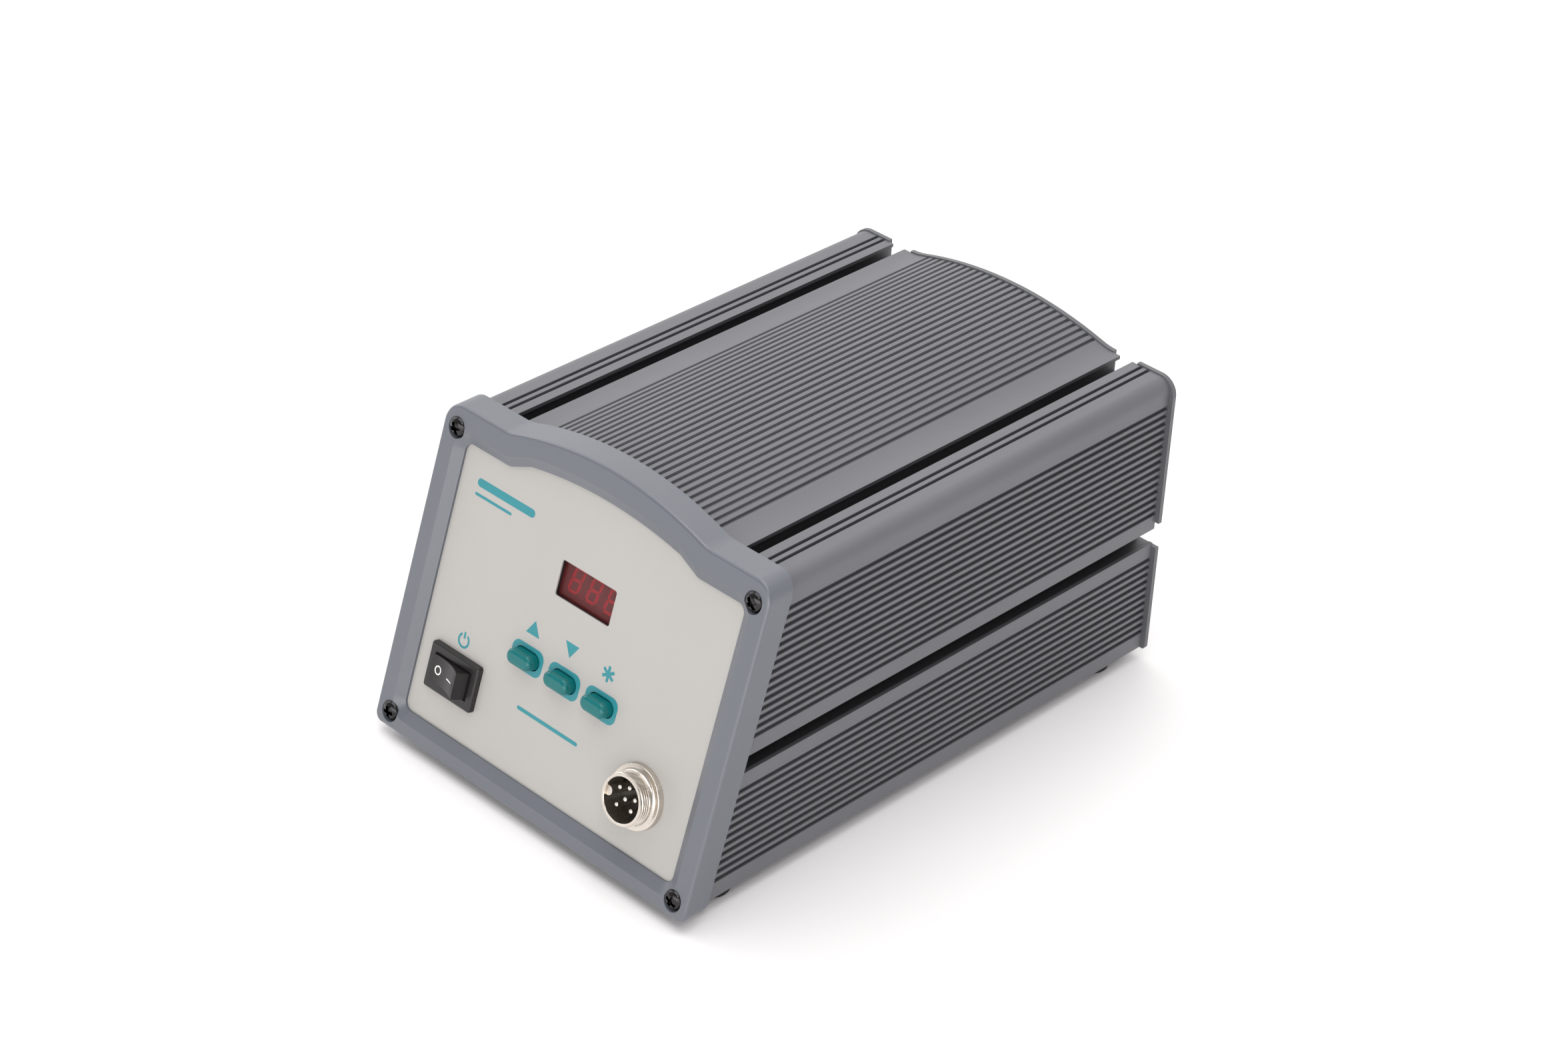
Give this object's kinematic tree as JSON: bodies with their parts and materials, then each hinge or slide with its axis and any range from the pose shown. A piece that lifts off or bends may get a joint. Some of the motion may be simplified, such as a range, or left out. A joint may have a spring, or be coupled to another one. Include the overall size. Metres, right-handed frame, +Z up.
{
  "type": "soldering station",
  "caption": "Soldering station base unit: ribbed extruded housing with accessory channels, leaning domed front with display, push buttons, rocker switch and round iron connector.",
  "frame": {"origin": "on the bench under the middle of the whole object, at the bottom of the feet", "axes": "+X to the right seen from the front, +Y to the back, +Z up; the front leans back by 17.18 degrees and faces -Y"},
  "size_m": [0.1354, 0.2148, 0.1108],
  "materials": {
    "housing_anodised": "satin anodised",
    "bezel_plastic": "fine moulded texture",
    "black_steel": "black oxide",
    "overlay_film": "matt printed film",
    "black_plastic": "matt",
    "red_acrylic": "polished, tinted",
    "display_plastic": "gloss",
    "board_laminate": "solder mask",
    "plated_steel": "zinc plated",
    "switch_plastic": "fine spark-eroded",
    "contact_brass": "plated",
    "nickel_plate": "nickel plated",
    "rear_paint": "satin paint",
    "fuse_glass": "clear",
    "core_iron": "varnished laminations",
    "bobbin_plastic": "natural nylon",
    "winding_copper": "enamelled wire under tape",
    "sink_aluminium": "plain extruded",
    "capacitor_sleeve": "shrunk sleeve",
    "terminal_plastic": "moulded",
    "button_plastic": "satin moulded",
    "foot_rubber": "matt"
  },
  "bodies": {
    "station": {"housing_extrusion": "housing_anodised", "front_bezel": "bezel_plastic", "bezel_screws": "black_steel", "face_overlay": "overlay_film", "panel_backing": "black_plastic", "display_window": "red_acrylic", "led_display": "display_plastic", "display_board": "board_laminate", "board_standoffs": "plated_steel", "board_screws": "plated_steel", "rocker_frame": "switch_plastic", "rocker_tabs": "contact_brass", "connector_shell": "nickel_plate", "connector_insert": "black_plastic", "connector_key": "nickel_plate", "connector_pins": "contact_brass", "connector_washer": "plated_steel", "connector_nut": "nickel_plate", "rear_plate": "rear_paint", "rear_screws": "black_steel", "mains_inlet": "black_plastic", "inlet_blades": "contact_brass", "inlet_screws": "black_steel", "inlet_nuts": "plated_steel", "fuse_holder": "black_plastic", "fuse_cap": "black_plastic", "fuse_link": "fuse_glass", "fuse_nut": "black_plastic", "earth_jack": "nickel_plate", "earth_nut": "plated_steel", "foot_front_left": "foot_rubber", "foot_front_right": "foot_rubber", "foot_rear_left": "foot_rubber", "foot_rear_right": "foot_rubber", "foot_screws": "plated_steel", "transformer_core": "core_iron", "transformer_bobbin": "bobbin_plastic", "transformer_winding": "winding_copper", "transformer_strap": "plated_steel", "transformer_bolts": "plated_steel", "transformer_nuts": "plated_steel", "main_board": "board_laminate", "heat_sink": "sink_aluminium", "power_triac": "black_plastic", "smoothing_capacitor": "capacitor_sleeve", "bridge_rectifier": "black_plastic", "controller_chip": "black_plastic", "terminal_block": "terminal_plastic", "tact_switch_up": "black_plastic", "tact_switch_down": "black_plastic", "tact_switch_set": "black_plastic"},
    "rocker": {"rocker_paddle": "switch_plastic"},
    "up_button": {"button_up": "button_plastic", "plunger_up": "black_plastic"},
    "down_button": {"button_down": "button_plastic", "plunger_down": "black_plastic"},
    "set_button": {"button_set": "button_plastic", "plunger_set": "black_plastic"}
  },
  "joints": [
    {"name": "rocker_hinge", "type": "hinge", "parent": "station", "child": "rocker", "pos_m": [-0.0417, -0.09766, 0.02844], "axis": [0, 0.2954, 0.9554], "range_deg": [0, 26]},
    {"name": "up_press", "type": "slide", "parent": "station", "child": "up_button", "axis": [0, 0.9554, -0.2954], "range_m": [0, 0.0005], "stiffness_N_per_m": 2500, "springref_m": -0.0002},
    {"name": "down_press", "type": "slide", "parent": "station", "child": "down_button", "axis": [0, 0.9554, -0.2954], "range_m": [0, 0.0005], "stiffness_N_per_m": 2500, "springref_m": -0.0002},
    {"name": "set_press", "type": "slide", "parent": "station", "child": "set_button", "axis": [0, 0.9554, -0.2954], "range_m": [0, 0.0005], "stiffness_N_per_m": 2500, "springref_m": -0.0002}
  ]
}
